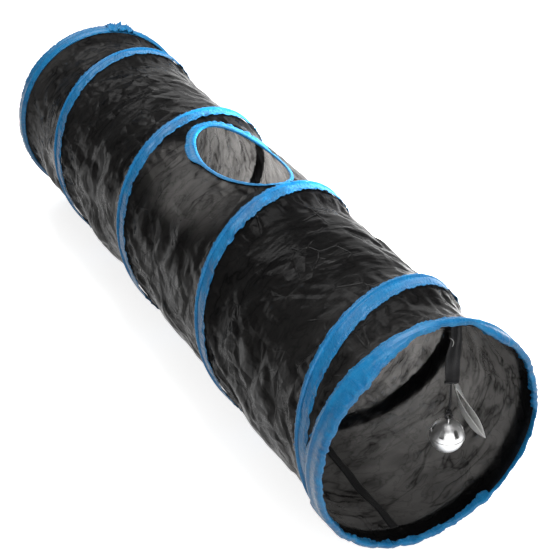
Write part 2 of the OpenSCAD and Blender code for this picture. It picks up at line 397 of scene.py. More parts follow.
def edge_after(piece):
    """The peephole's edge on the finished fabric, as ordered points: the only edge that is long in x."""
    points = [v.co for v in piece.data.vertices]
    loops = edge_loops([tuple(p.vertices) for p in piece.data.polygons])
    return next(edge for edge in (np.array([points[i] for i in loop]) for loop in loops)
                if np.ptp(edge[:, 0]) > HOLE_HALF[0])


def hang_fabric(x, angle, faces):
    """The fabric after it has sagged between the wires. Returns the points."""
    arc = np.stack([x, FABRIC_R * np.cos(angle), FABRIC_R * np.sin(angle)], -1)
    reach = tape_gap(coil_distance(x, angle))
    end_gap = END_X - RIM_W - np.abs(x)
    free = smooth_step(0.0, 0.022, reach) * smooth_step(0.0, 0.03, end_gap)
    start = FABRIC_R + 0.0012 * free * wave_noise(arc, 0.05, 11) - 0.001 * free
    piece = new_piece("fabric_cloth", round_point(x, start, angle), faces.tolist())
    held = (reach < -0.0004) | (end_gap < -0.001)
    group = piece.vertex_groups.new(name="held")
    group.add(np.nonzero(held)[0].tolist(), 1.0, "REPLACE")
    cloth = piece.modifiers.new("cloth", "CLOTH")
    for setting, value in CLOTH.items():
        setattr(cloth.settings, setting, value)
    cloth.collision_settings.use_collision = False
    cloth.collision_settings.use_self_collision = False
    scene = bpy.context.scene
    cloth.point_cache.frame_start = 1
    cloth.point_cache.frame_end = CLOTH_FRAMES
    for number in range(1, CLOTH_FRAMES + 1):
        scene.frame_set(number)
    seen = piece.evaluated_get(bpy.context.evaluated_depsgraph_get())
    count = len(piece.data.vertices)
    moved = np.zeros(count * 3)
    seen.data.vertices.foreach_get("co", moved)
    moved = moved.reshape(-1, 3)
    scene.frame_set(1)
    bpy.data.objects.remove(piece)
    return moved


def fabric_tube():
    x, angle, faces = tube_grid()
    rest = round_point(x, FABRIC_R, angle)
    hung = hang_fabric(x, angle, faces)
    shift = hung - rest
    size = np.maximum(np.linalg.norm(shift, axis=1), 1e-9)
    shift *= (MOST_SAG * np.tanh(size / MOST_SAG) / size)[:, None]
    piece = new_piece("tunnel_fabric", rest + shift, faces.tolist())
    set_attribute(piece, "place", np.stack([x, np.cos(angle), np.sin(angle)], -1))
    split = piece.modifiers.new("finer", "SUBSURF")
    split.levels = 1
    split.render_levels = 1
    split.boundary_smooth = "PRESERVE_CORNERS"
    apply_modifiers(piece)
    crease(piece)
    return piece


def crease(piece):
    """Folds the fabric along sharp creases, and gathers it beside the tapes."""
    mesh = piece.data
    count = len(mesh.vertices)
    points = np.zeros(count * 3)
    mesh.vertices.foreach_get("co", points)
    points = points.reshape(-1, 3)
    place = np.zeros(count * 3, np.float32)
    mesh.attributes["place"].data.foreach_get("vector", place)
    place = place.reshape(-1, 3).astype(float)
    x = place[:, 0]
    angle = np.arctan2(place[:, 2], place[:, 1])
    arc = angle * FABRIC_R
    distance = coil_distance(x, angle)
    near_end = END_X - RIM_W - np.abs(x)
    near_tape = np.minimum(tape_gap(distance), near_end)
    free = smooth_step(-0.002, 0.022, near_tape)
    hole = np.clip((hole_distance(x, angle) - 1) * HOLE_HALF[0], 0, None)
    free *= smooth_step(0.0, 0.02, hole) * 0.85 + 0.15
    field = np.stack([x, np.cos(angle) * FABRIC_R, np.sin(angle) * FABRIC_R], -1)
    warp = 0.012 * wave_noise(field, 0.11, 3)
    broad = Creases(BROAD[0], 21).height(x + warp, arc - warp)
    medium = Creases(MEDIUM[0], 22).height(x - warp, arc + 0.6 * warp)
    fine = Creases(FINE[0], 23).height(x, arc + warp)
    sharp = 0.5 + 0.5 * wave_noise(field, 0.16, 5, 2)
    height = BROAD[1] * broad + MEDIUM[1] * medium * (0.5 + sharp) + FINE[1] * fine * (0.4 + sharp)
    gather = wave_noise(np.stack([arc, x * 0.22], -1), 0.016, 7, 2)
    gather = 1 - 2.2 * np.abs(gather)
    fade = np.exp(-np.clip(near_tape, 0, None) / 0.012) * smooth_step(-0.004, 0.003, near_tape)
    height = height * free + 0.0011 * gather * fade * (0.5 + 0.8 * sharp)
    radial = np.stack([np.zeros(count), np.cos(angle), np.sin(angle)], -1)
    height -= 0.0018 * free
    points += radial * height[:, None]
    tucked = smooth_step(END_X - 0.018, END_X, x) * (set_back(angle, 1) + 0.001)
    points[:, 0] -= tucked
    radius = np.hypot(points[:, 1], points[:, 2] - AXIS_Z)
    # under a tape the fabric keeps its own layer
    limit = np.where(near_tape < 0.001, FABRIC_R + 0.0004, FABRIC_R + 0.0036)
    over = np.maximum(radius - limit, 0)
    points -= radial * over[:, None]
    points[:, 2] = np.maximum(points[:, 2], 0.0025)
    mesh.vertices.foreach_set("co", points.reshape(-1))
    mesh.update()


# ------------------------------------------------------------------ tapes
RIDGE_H = 0.0026                # height, over the flat of the tape, of the ridge that the wire makes
TAPE_T = 0.00055                # thickness of a tape


def casing(name, start, end, seed):
    """One strip of the spiral's casing: satin tape, sewn at both edges, with a ridge over the wire."""
    turn_length = math.hypot(PITCH, 2 * math.pi * WIRE_R)
    count = round((end - start) * turn_length / 0.0025)
    s = np.linspace(start, end, count + 1)
    run = s * turn_length
    across = MM * np.array([-5.5, -5.0, -4.3, -3.6, -2.9, -2.2, -1.5, -0.8, 0.0, 0.8, 1.5, 2.3, 3.3, 5.0,
                            7.5, 10.0, 12.5, 14.5, 16.0, 17.2, 18.3, 19.3, 20.3, 21.0, 21.5])
    run_grid, across_grid = np.meshgrid(run, across, indexing="ij")
    field = np.stack([run_grid, across_grid * 0.4], -1)
    front_share = smooth_step(0.0125, 0.0185, across_grid)
    back_share = smooth_step(-0.0024, -0.0048, across_grid)
    edge_share = np.maximum(front_share, back_share)
    pucker = np.abs(wave_noise(field, 0.0085, seed, 2))
    deep = np.clip(wave_noise(field, 0.019, seed + 4, 2), 0, 1)
    wobble_front = 0.0010 * wave_noise(run[:, None], 0.02, seed + 1, 3)
    wobble_back = 0.0005 * wave_noise(run[:, None], 0.013, seed + 2, 2)
    lateral = across_grid + wobble_front[:, None] * front_share + wobble_back[:, None] * back_share
    ridge = np.exp(-(across_grid / 0.0019) ** 4)
    hollow = smooth_step(0.002, 0.006, across_grid) * smooth_step(0.0195, 0.011, across_grid)
    soft = wave_noise(field, 0.045, seed + 3, 2)
    height = 0.0007 + RIDGE_H * ridge
    height += (0.0009 * pucker + 0.0012 * deep * front_share) * edge_share * (1 - ridge)
    height += (0.0011 + 0.0007 * soft) * hollow
    top = tape_points(s, lateral, CASING_FOOT + height)
    bottom = tape_points(s, lateral, np.maximum(CASING_FOOT + height - TAPE_T, CASING_FOOT))
    limit = END_X - RIM_W + 0.002
    for sheet in (top, bottom):
        sheet[..., 0] = np.clip(sheet[..., 0], -limit, limit)
    return flat_strip(name, top, bottom, run_grid, across_grid, edge_share)


def tape_points(s, along, radius):
    """Points beside the spiral: along is measured over the fabric, square to the wire."""
    angle = spiral_angle(s)[:, None] + along * math.sin(COIL_SLOPE) / WIRE_R
    x = spiral_x(s)[:, None] + along * math.cos(COIL_SLOPE)
    points = round_point(x, radius, angle)
    points[..., 2] = np.maximum(points[..., 2], 0.0002)
    return points


def rim(name, side, seed):
    """Tape folded over a rim. side is 1 at the mouth and -1 at the far end."""
    count = 330
    angle = np.arange(count) * 2 * math.pi / count
    degrees = np.degrees(angle)
    outer = [(-27.0, 120.9), (-26.2, 121.7), (-24.9, 121.9), (-23.8, 122.4), (-22.9, 123.9), (-21.6, 124.8),
             (-19.8, 125.0), (-18.1, 124.4), (-16.8, 123.6), (-14.5, 123.4), (-12.0, 123.6), (-9.5, 123.9),
             (-7.5, 124.2), (-5.8, 124.4), (-4.2, 124.4), (-2.8, 124.1), (-1.6, 123.4), (-0.7, 122.5)]
    lip = [(-0.1, 121.4), (0.0, 120.2), (-0.4, 119.0)]
    inner = [(-0.9, 118.5), (-1.6, 118.1), (-2.5, 117.9), (-3.5, 117.8), (-4.5, 117.8), (-5.4, 117.9),
             (-6.2, 118.0), (-6.8, 118.1), (-7.2, 118.3)]
    back = [(-7.0, 118.7), (-5.0, 118.7), (-3.0, 119.3), (-1.8, 120.8), (-3.6, 122.8), (-9.0, 122.9),
            (-16.6, 122.7), (-18.2, 123.5), (-21.4, 123.9), (-22.6, 122.9), (-23.6, 121.3), (-26.8, 120.3)]
    section = np.array(outer + lip + inner + back) * MM
    n_out, n_lip, n_in = len(outer), len(lip), len(inner)
    last_in = n_out + n_lip + n_in
    x = np.broadcast_to(section[:, 0], (count, len(section))).copy()
    radius = np.broadcast_to(section[:, 1], x.shape).copy()
    run = angle * RIM_R
    circle = np.stack([np.cos(angle), np.sin(angle)], -1) * RIM_R
    back_by = set_back(angle, side)
    turned_out = smooth_step(300, 318, degrees) * smooth_step(368, 352, degrees) * (side > 0)
    front = smooth_step(-0.014, -0.001, section[:, 0])
    front[last_in:] *= 0.95
    waves = wave_noise(circle, 0.03, seed, 3)
    fine = np.abs(wave_noise(circle, 0.0085, seed + 1, 2))
    broad = wave_noise(circle, 0.1, seed + 2, 2)
    x += front[None] * (0.0014 * waves - 0.0008)[:, None]
    squeeze = np.where(section[:, 0] > -0.0165, (section[:, 0] + 0.0165) / 0.0165, 0.0)
    squeeze[n_out:last_in + 5] = 1.0
    x -= squeeze[None] * back_by[:, None]
    middle_r = 0.1226
    thin = 1 - 0.45 * back_by / MOUTH_SET_BACK * (side > 0) - 0.72 * turned_out
    inward = np.clip(middle_r - radius, 0, 1)
    radius += inward * (1 - thin[:, None])
    loose = 1 - turned_out
    radius -= front[None] * ((0.0012 * np.clip(waves, 0, 1) + 0.0009 * fine) * loose)[:, None]
    radius += front[None] * (0.0006 * broad)[:, None]
    hem = np.zeros(len(section))
    hem[n_out + n_lip:last_in] = smooth_step(-0.003, -0.0062, section[n_out + n_lip:last_in, 0])
    radius -= hem[None] * ((0.0012 * fine + 0.0004 * waves) * (1 - turned_out))[:, None]
    stretch = smooth_step(-0.002, -0.007, section[:, 0]) * 0.002
    stretch[:n_out + n_lip] = 0
    stretch[last_in + 2:] = 0
    x -= stretch[None] * waves[:, None]
    rear = smooth_step(-0.0236, -0.0262, section[:, 0])
    rear[n_out + n_lip:] = 0
    radius += rear[None] * (0.0011 * fine + 0.0002 * broad)[:, None]
    x -= rear[None] * 0.0008 * (waves[:, None] + 0.3)
    outside = np.arange(len(section)) < n_out
    below = np.arange(len(section)) >= last_in + 5
    distance = coil_distance(side * (END_X + x), np.broadcast_to(angle[:, None], x.shape))
    cover = CASING_FOOT + 0.0026 + RIDGE_H * np.exp(-(distance / 0.0026) ** 4)
    over_casing = (tape_gap(distance) < 0.001) & (x < -0.0225)
    radius = np.where(over_casing & outside[None], np.maximum(radius, cover), radius)
    radius = np.where(over_casing & below[None], np.maximum(radius, cover - 0.0007), radius)
    points = round_point(side * (END_X + x), radius, angle[:, None])
    lowest = 0.0004
    pressed = lowest + 0.02 * (points[..., 2] + RIM_R - AXIS_Z)
    points[..., 2] = np.where(points[..., 2] < lowest, pressed, points[..., 2])
    around = np.concatenate([[0], np.cumsum(np.linalg.norm(np.diff(section, axis=0), axis=1))])
    share = np.maximum(np.maximum(smooth_step(-0.008, -0.001, section[:, 0]) * outside, rear), hem)
    tape = np.stack(np.broadcast_arrays(run[:, None], around[None], share[None]), -1)
    return sweep(name, points, closed=True, flip=side < 0, tape=tape)


def join_flap():
    """Crumpled overlap where the two ends of the far rim's tape meet."""
    half = math.radians(9)
    middle = math.radians(JOIN_ANGLE)
    angle = np.linspace(middle - half, middle + half, 44)
    span = np.linspace(0, 1, 15)
    share, turn = np.meshgrid(span, angle)
    x = -END_X + 0.0004 + (RIM_W + 0.001) * share
    run = turn * RIM_R
    field = np.stack([x, run], -1)
    lift = np.abs(wave_noise(field, 0.011, 61, 3)) * 0.0036 + 0.0005
    end = smooth_step(1.0, 0.8, np.abs(turn - middle) / half)
    crest = np.interp(share, [0, 0.25, 0.5, 0.75, 1], [121.6, 123.6, 125.1, 122.8, 121.4]) * MM
    radius = crest + 0.0006 + lift * (0.25 + 0.75 * end)
    turn = turn + 0.03 * (share - 0.5) * np.sign(turn - middle) + 0.012 * wave_noise(field, 0.02, 62, 1)
    top = round_point(x, radius, turn)
    bottom = round_point(x, radius - TAPE_T, turn)
    return flat_strip("far_join_flap", top, bottom, run, share * RIM_W, np.abs(share - 0.5) * 2)


def fabric_surface(fabric):
    """A tree over the fabric tube, to look for it from the axis."""
    mesh = fabric.data
    points = [v.co.copy() for v in mesh.vertices]
    return BVHTree.FromPolygons(points, [tuple(p.vertices) for p in mesh.polygons])


def fabric_radius(tree, x, angle):
    """Distance from the tunnel's axis to the fabric at each place."""
    out = np.full(len(x), FABRIC_R)
    for i, (a, b) in enumerate(zip(x, angle)):
        hit = tree.ray_cast(Vector((a, 0, AXIS_Z)), Vector((0, math.cos(b), math.sin(b))))
        if hit[0] is not None:
            out[i] = hit[3]
    return out


def seam_tape(tree):
    """Woven black tape sewn over the lengthwise seam, inside."""
    count = 260
    limit = END_X - RIM_W
    x = np.linspace(-limit, limit, count)
    middle = math.radians(SEAM_ANGLE)
    half = 0.005 / FABRIC_R
    across = np.linspace(-1, 1, 7)
    base = [fabric_radius(tree, x, np.full(count, middle + a * half)) for a in across]
    base = np.stack(base, 1)
    kernel = np.ones(7) / 7
    for j in range(base.shape[1]):
        base[:, j] = np.convolve(np.pad(base[:, j], 3, mode="edge"), kernel, mode="valid")
    base = np.minimum(base, base.mean(1, keepdims=True) + 0.0006) - 0.0012
    drift = 0.0007 * wave_noise(x[:, None], 0.09, 44, 2)
    angle = middle + half * across[None] + (drift / FABRIC_R)[:, None]
    outer = round_point(x[:, None], base + 0.0004, angle)
    inner = round_point(x[:, None], base - 0.0004, angle)
    return flat_strip("seam_tape", outer, inner, x[:, None], across[None] * 0.005, np.abs(across[None]))


def peephole_tape(edge_points):
    """Tape folded over the peephole's edge, following the edge as it hangs."""
    points = np.asarray(edge_points, float)
    lengths = np.linalg.norm(np.roll(points, -1, 0) - points, axis=1)
    place = np.concatenate([[0], np.cumsum(lengths)])
    count = 240
    run = np.linspace(0, place[-1], count, endpoint=False)
    closed = np.vstack([points, points[:1]])
    line = np.stack([np.interp(run, place, closed[:, k]) for k in range(3)], -1)
    for _ in range(3):
        line = (np.roll(line, 1, 0) + 2 * line + np.roll(line, -1, 0)) / 4
    heading = unit(np.roll(line, -1, 0) - np.roll(line, 1, 0))
    out = unit(line * np.array([0, 1, 1]) - np.array([0, 0, AXIS_Z]))
    centre = line.mean(0)
    side = np.cross(out, heading)
    side *= np.sign(np.sum(side * (line - centre), axis=1))[:, None]
    section = [(10.6, 1.0), (9.6, 1.3), (8.2, 1.3), (6.6, 1.6), (5.0, 2.0), (3.4, 2.2),
               (1.8, 2.1), (0.4, 1.8), (-0.9, 1.1), (-1.3, 0.0), (-0.9, -1.0), (0.4, -1.5),
               (2.4, -1.5), (4.6, -1.4), (6.8, -1.3), (9.0, -1.2), (9.0, -0.6), (3.4, -0.7),
               (0.6, -0.7), (0.2, 0.0), (0.8, 0.9), (4.0, 1.1), (10.4, 0.5)]
    section = np.array(section) * MM
    share = smooth_step(0.005, 0.0095, section[:, 0])
    turn = run / place[-1] * 2 * math.pi
    ring_field = np.stack([np.cos(turn), np.sin(turn)], -1) * 0.07
    fine = np.abs(wave_noise(ring_field, 0.009, 72, 2))
    broad = wave_noise(ring_field, 0.05, 73, 2)
    lie = np.arctan2(line[:, 2] - AXIS_Z, line[:, 1]) - math.radians(HOLE_ANGLE)
    across_hole = lie * FABRIC_R / HOLE_HALF[1]
    around_hole = np.degrees(np.arctan2(across_hole, (line[:, 0] - HOLE_X) / HOLE_HALF[0])) % 360
    shown = 0.34 + 0.66 * smooth_step(88, 112, around_hole) * smooth_step(262, 238, around_hole)
    shown = shown[:, None]
    along = 1.12 * section[None, :, 0] * shown + share[None] * 0.0011 * broad[:, None] * shown
    height = section[None, :, 1] * (0.5 + 0.5 * shown)
    height = height + share[None] * np.sign(section[None, :, 1]) * 0.0012 * fine[:, None] * shown
    rings = line[:, None] + side[:, None] * along[..., None] + out[:, None] * height[..., None]
    around = np.concatenate([[0], np.cumsum(np.linalg.norm(np.diff(section, axis=0), axis=1))])
    tape = np.stack(np.broadcast_arrays(run[:, None], around[None], share[None]), -1)
    return sweep("peephole_tape", rings, closed=True, tape=tape)


# ------------------------------------------------------------------ things that hang in the mouth
def at_bell(points):
    """Points given on the bell's axis, x facing out of the mouth, y across it and z up from the floor."""
    points = np.asarray(points, float)
    c, s = math.cos(VIEW_TURN), math.sin(VIEW_TURN)
    out = np.empty_like(points)
    out[..., 0] = BELL_X + points[..., 0] * c - points[..., 1] * s
    out[..., 1] = BELL_Y + points[..., 0] * s + points[..., 1] * c
    out[..., 2] = points[..., 2]
    return out


def ribbon(roof_z):
    """Black ribbon from the roof of the mouth, gathered where it is sewn and folded at its hem."""
    rows, columns = 46, 15
    down = np.linspace(0, 1, rows)
    across = np.linspace(-1, 1, columns)
    d, a = np.meshgrid(down, across, indexing="ij")
    z = roof_z + (HEM_Z - roof_z) * d
    half = 0.0066 * (0.78 + 0.3 * smooth_step(0.0, 0.75, d) - 0.10 * smooth_step(0.8, 1.0, d))
    pleat = 0.0016 * np.sin(a * 5.2 + 1.1 * d + 0.5) * (1 - 0.75 * smooth_step(0.1, 0.9, d))
    sway = 0.0011 * np.sin(d * 5.5) + 0.0007 * np.sin(d * 13 + a * 1.4)
    x = pleat + sway * smooth_step(0, 0.2, d) * smooth_step(1, 0.85, d)
    y = half * a + 0.0006 * np.sin(d * 8)
    front = at_bell(np.stack([x + 0.0004, y, z], -1))
    back = at_bell(np.stack([x - 0.0004, y, z], -1))
    return flat_strip("ribbon_tab", front, back, d * 0.06, a * 0.0066, np.abs(a), flip=True)


def ribbon_hem():
    """Rolled hem at the ribbon's foot, with the cord sewn into it."""
    count, around = 22, 14
    y = np.linspace(-1, 1, count)
    turn = np.arange(around) * 2 * math.pi / around
    swell = 1 - 0.35 * np.abs(y) ** 3
    wave = 0.00025 * np.sin(y * 9)
    radius = 0.0019 * swell
    depth = radius[:, None] * np.cos(turn) * 0.95
    height = HEM_Z + 0.0002 + wave[:, None] + radius[:, None] * np.sin(turn)
    rings = np.stack(np.broadcast_arrays(depth, y[:, None] * 0.0068, height), -1)
    return sweep("ribbon_hem", at_bell(rings), flip=True)


def curve_piece(name, points, radius):
    data = bpy.data.curves.new(name, "CURVE")
    data.dimensions = "3D"
    data.bevel_depth = radius
    data.bevel_resolution = 4
    data.use_fill_caps = True
    spline = data.splines.new("POLY")
    spline.points.add(len(points) - 1)
    for point, place in zip(spline.points, points):
        point.co = (*place, 1)
    return add_object(name, data)


def round_loop(centre_z, radius, start, end, count):
    turn = np.radians(np.linspace(start, end, count))
    return [(0, radius * math.cos(t), centre_z + radius * math.sin(t)) for t in turn]


def bell_elastic():
    """The elastic cord's route from the hem down to its knot."""
    return [(0, 0, HEM_Z - 0.0006), (0, 0, 0.1685), (0, 0.0002, 0.1645), (0, 0.0003, 0.1595),
            (0, 0.0003, 0.1545), (0, 0.0002, 0.1495), (0, 0, 0.1455), (0, 0, KNOT_Z + 0.0029)]


def tied_knot():
    """The cord's knot: one strand that runs along a trefoil."""
    t = np.linspace(0, 2 * math.pi, 150, endpoint=False)
    x = (np.sin(t) + 2 * np.sin(2 * t)) * 0.00055
    y = (np.cos(t) - 2 * np.cos(2 * t)) * 0.00055
    z = KNOT_Z - np.sin(3 * t) * 0.0011
    line = np.stack([x, y, z], -1)
    heading = unit(np.roll(line, -1, 0) - np.roll(line, 1, 0))
    side = unit(np.cross(heading, np.array([0, 0, 1.0])))
    rings = wire_rings(line, side, np.cross(side, heading), 0.0009, 10)
    return sweep("cord_knot", at_bell(rings), closed=True)


def folded_label():
    """Care label: a satin strip folded in two, sewn in at the hem, with both leaves curling apart."""
    half_w = 0.0125
    length = 0.0655
    rows, columns = 40, 13
    lean = math.radians(23.5)
    root = np.array([-0.0055, 0.004, HEM_Z - 0.005])
    s = np.linspace(0, 1, rows)
    bow = 0.0030
    # one path: down the front leaf, round the fold, up the back leaf
    front_gap = bow * np.sin(math.pi * np.clip(s, 0, 1) ** 0.9)
    back_gap = -bow * 0.9 * np.sin(math.pi * s ** 1.1)
    path = [(g, -length * t) for g, t in zip(front_gap + 0.0003, s)]
    path += [(g, -length * t) for g, t in zip(back_gap[::-1] - 0.0003, s[::-1])]
    path = np.array(path)
    across = np.linspace(-1, 1, columns)
    rings = []
    for gap, drop in path:
        share = -drop / length
        twist = LABEL_TWIST * smooth_step(0.0, 0.85, share)
        curl = 0.0022 * share * (across ** 2)
        narrow = half_w * (0.72 + 0.28 * smooth_step(0, 0.35, share))
        x = narrow * across * math.cos(twist)
        y = gap + curl * 0.6 + narrow * across * math.sin(twist)
        rings.append(np.stack([x, y, np.full(columns, drop)], -1))
    rings = np.array(rings)
    c, sn = math.cos(lean), math.sin(lean)
    y = rings[..., 1] * c - rings[..., 2] * sn
    z = rings[..., 1] * sn + rings[..., 2] * c
    world = at_bell(np.stack([root[0] + rings[..., 0], root[1] + y, root[2] + z], -1))
    piece = new_piece("folded_care_label", world.reshape(-1, 3), grid_faces(len(path), columns))
    drop = np.concatenate([s, 2 - s[::-1]]) * length
    tape = np.stack(np.broadcast_arrays(drop[:, None], across[None] * half_w, np.abs(across[None])), -1)
    set_attribute(piece, "tape", tape)
    thick = piece.modifiers.new("thick", "SOLIDIFY")
    thick.thickness = 0.00035
    thick.offset = 0
    apply_modifiers(piece)
    return piece


def loose_thread():
    """A white thread end that curls out of the stitching at the ribbon's root."""
    points = []
    for k in range(14):
        t = k / 13
        points.append((0.003 + 0.002 * math.sin(3 * t), -0.0052 + 0.0030 * math.sin(2.2 * t),
                       AXIS_Z + 0.102 - 0.009 * t * t))
    return curve_piece("loose_thread", at_bell(points), 0.00035)


# ------------------------------------------------------------------ materials
class Shader:
    """A small helper that builds a node material round one Principled shader."""

    def __init__(self, name):
        self.material = bpy.data.materials.new(name)
        self.material.use_nodes = True
        self.tree = self.material.node_tree
        self.tree.nodes.clear()
        self.output = self.tree.nodes.new("ShaderNodeOutputMaterial")
        self.bsdf = self.tree.nodes.new("ShaderNodeBsdfPrincipled")
        self.link(self.bsdf.outputs[0], self.output.inputs["Surface"])

    def link(self, source, target):
        self.tree.links.new(source, target)

    def set(self, **values):
        for name, value in values.items():
            self.bsdf.inputs[name.replace("_", " ")].default_value = value

    def feed(self, name, source):
        self.link(source, self.bsdf.inputs[name])

    def node(self, kind, **settings):
        node = self.tree.nodes.new(kind)
        for name, value in settings.items():
            setattr(node, name, value)
        return node

    def place(self, scale=1.0, attribute=None):
        """Coordinates in metres times scale: the object's own, or a stored attribute's."""
        if attribute is None:
            source = self.node("ShaderNodeTexCoord").outputs["Object"]
        else:
            source = self.node("ShaderNodeAttribute", attribute_name=attribute).outputs["Vector"]
        scale = (scale,) * 3 if np.isscalar(scale) else scale
        mapping = self.node("ShaderNodeMapping")
        mapping.inputs["Scale"].default_value = scale
        self.link(source, mapping.inputs["Vector"])
        return mapping.outputs[0]

    def texture(self, node, vector, output, **inputs):
        for name, value in inputs.items():
            node.inputs[name].default_value = value
        self.link(vector, node.inputs["Vector"])
        return node.outputs[output]

    def noise(self, vector, scale, detail=3.0, roughness=0.5, distortion=0.0):
        return self.texture(self.node("ShaderNodeTexNoise"), vector, "Fac", Scale=scale,
                            Detail=detail, Roughness=roughness, Distortion=distortion)

    def wave(self, vector, scale, direction="X"):
        node = self.node("ShaderNodeTexWave", bands_direction=direction)
        return self.texture(node, vector, "Fac", Scale=scale, Distortion=0.0)

    def cell_edges(self, vector, scale):
        node = self.node("ShaderNodeTexVoronoi", feature="DISTANCE_TO_EDGE")
        return self.texture(node, vector, "Distance", Scale=scale)

    def ramp(self, source, *stops):
        node = self.node("ShaderNodeValToRGB")
        elements = node.color_ramp.elements
        while len(elements) < len(stops):
            elements.new(0.5)
        for element, (position, value) in zip(elements, stops):
            element.position = position
            element.color = (value, value, value, 1) if np.isscalar(value) else (*value, 1)
        self.link(source, node.inputs["Fac"])
        return node.outputs["Color"]

    def maths(self, operation, a, b=None, c=None):
        node = self.node("ShaderNodeMath", operation=operation)
        for index, value in enumerate((a, b, c)):
            if value is None:
                continue
            if isinstance(value, (int, float)):
                node.inputs[index].default_value = value
            else:
                self.link(value, node.inputs[index])
        return node.outputs[0]

    def mix(self, factor, first, second):
        node = self.node("ShaderNodeMix", data_type="RGBA")
        for index, value in ((0, factor), (6, first), (7, second)):
            if isinstance(value, (int, float)):
                node.inputs[index].default_value = value
            elif isinstance(value, tuple):
                node.inputs[index].default_value = (*value, 1)
            else:
                self.link(value, node.inputs[index])
        return node.outputs[2]

    def bump(self, height, strength, distance, normal=None):
        node = self.node("ShaderNodeBump")
        node.inputs["Strength"].default_value = strength
        node.inputs["Distance"].default_value = distance
        self.link(height, node.inputs["Height"])
        if normal is not None:
            self.link(normal, node.inputs["Normal"])
        return node.outputs[0]


def shades(shader, factor, colour, dark, light):
    """Mixes a darker and a lighter shade of a colour."""
    return shader.mix(factor, tuple(dark * c for c in colour), tuple(light * c for c in colour))


def part_of(shader, attribute, axis):
    """One number of a stored attribute: 0 runs along the tape, 1 across it, 2 nears its sewn edges."""
    split = shader.node("ShaderNodeSeparateXYZ")
    shader.link(shader.place(1.0, attribute), split.inputs[0])
    return split.outputs[axis]


def taffeta():
    """Thin black taffeta: glossy on its flat facets, and light from behind glows through it, with painted
    fold shade in that glow.
    """
    s = Shader("black_taffeta")
    place = s.place(1.0)
    s.set(Specular_IOR_Level=FABRIC_SPECULAR)
    slow = s.noise(place, 18.0, 3.0, 0.5, 0.6)
    s.feed("Base Color", s.mix(slow, (0.0022, 0.0022, 0.0024), (0.0065, 0.0064, 0.0068)))
    s.feed("Roughness", s.ramp(slow, (0.25, 0.12), (0.75, 0.24)))
    # painted fold shade: dark lines in the light that glows through the cloth, where folds would shade it
    stretched = s.place((1.0, 0.38, 0.38))
    long_folds = s.noise(stretched, 26.0, 3.0, 0.58, 0.6)
    short_folds = s.noise(s.place((1.0, 0.6, 0.6)), 58.0, 3.0, 0.6, 0.5)
    masked = s.ramp(s.noise(place, 9.0, 2.0), (0.42, 0.25), (0.58, 1.0))
    fold = s.ramp(long_folds, (0.455, 0.0), (0.492, 1.0), (0.512, 0.35), (0.56, 0.0))
    fold = s.maths("MULTIPLY", fold, masked)
    # painted shade of short ripples in the light that glows through
    ripple_shade = s.ramp(short_folds, (0.44, 0.0), (0.495, 1.0), (0.53, 0.0))
    # flat facets with sharp edges between them, and thin ridges along some of those edges
    wander = s.noise(place, 22.0, 3.0, 0.5)
    facets = s.cell_edges(place, 30.0)
    small_facets = s.cell_edges(s.place((0.6, 1.0, 1.0)), 62.0)
    ridge = s.maths("MULTIPLY", s.ramp(facets, (0.0, 1.0), (0.035, 0.0)),
                    s.ramp(wander, (0.5, 0.0), (0.6, 1.0)))
    wrinkle = s.noise(place, 75.0, 5.0, 0.55, 1.4)
    crumpled = s.ramp(s.noise(place, 7.0, 2.0), (0.38, 0.15), (0.60, 1.0))
    normal = s.bump(wrinkle, 0.12, 0.003)
    normal = s.bump(long_folds, 0.25, 0.012, normal)
    normal = s.bump(s.maths("MULTIPLY", facets, crumpled), 0.60, 0.012, normal)
    normal = s.bump(s.maths("MULTIPLY", small_facets, crumpled), 0.40, 0.005, normal)
    normal = s.bump(ridge, 0.45, 0.0012, normal)
    weave = s.wave(place, 900.0, "DIAGONAL")
    normal = s.bump(weave, 0.03, 0.0003, normal)
    s.feed("Normal", normal)
    glow = s.node("ShaderNodeBsdfTranslucent")
    # painted shade: soft darker valleys and the fold lines darken the colour of the light that glows through
    # the cloth
    shade = s.ramp(s.noise(stretched, 34.0, 3.0, 0.55, 0.5), (0.32, 0.45), (0.68, 1.0))
    painted_fold_shade = s.maths("MULTIPLY_ADD", fold, -0.60, shade)
    painted_fold_shade = s.maths("MULTIPLY_ADD", ripple_shade, -0.24, painted_fold_shade)
    s.link(s.mix(s.maths("MAXIMUM", painted_fold_shade, 0.0), (0.10, 0.095, 0.09), (0.95, 0.92, 0.89)), glow.inputs["Color"])
    s.link(normal, glow.inputs["Normal"])
    blend = s.node("ShaderNodeMixShader")
    blend.inputs[0].default_value = FABRIC_GLOW
    s.link(s.bsdf.outputs[0], blend.inputs[1])
    s.link(glow.outputs[0], blend.inputs[2])
    s.link(blend.outputs[0], s.output.inputs["Surface"])
    return s.material


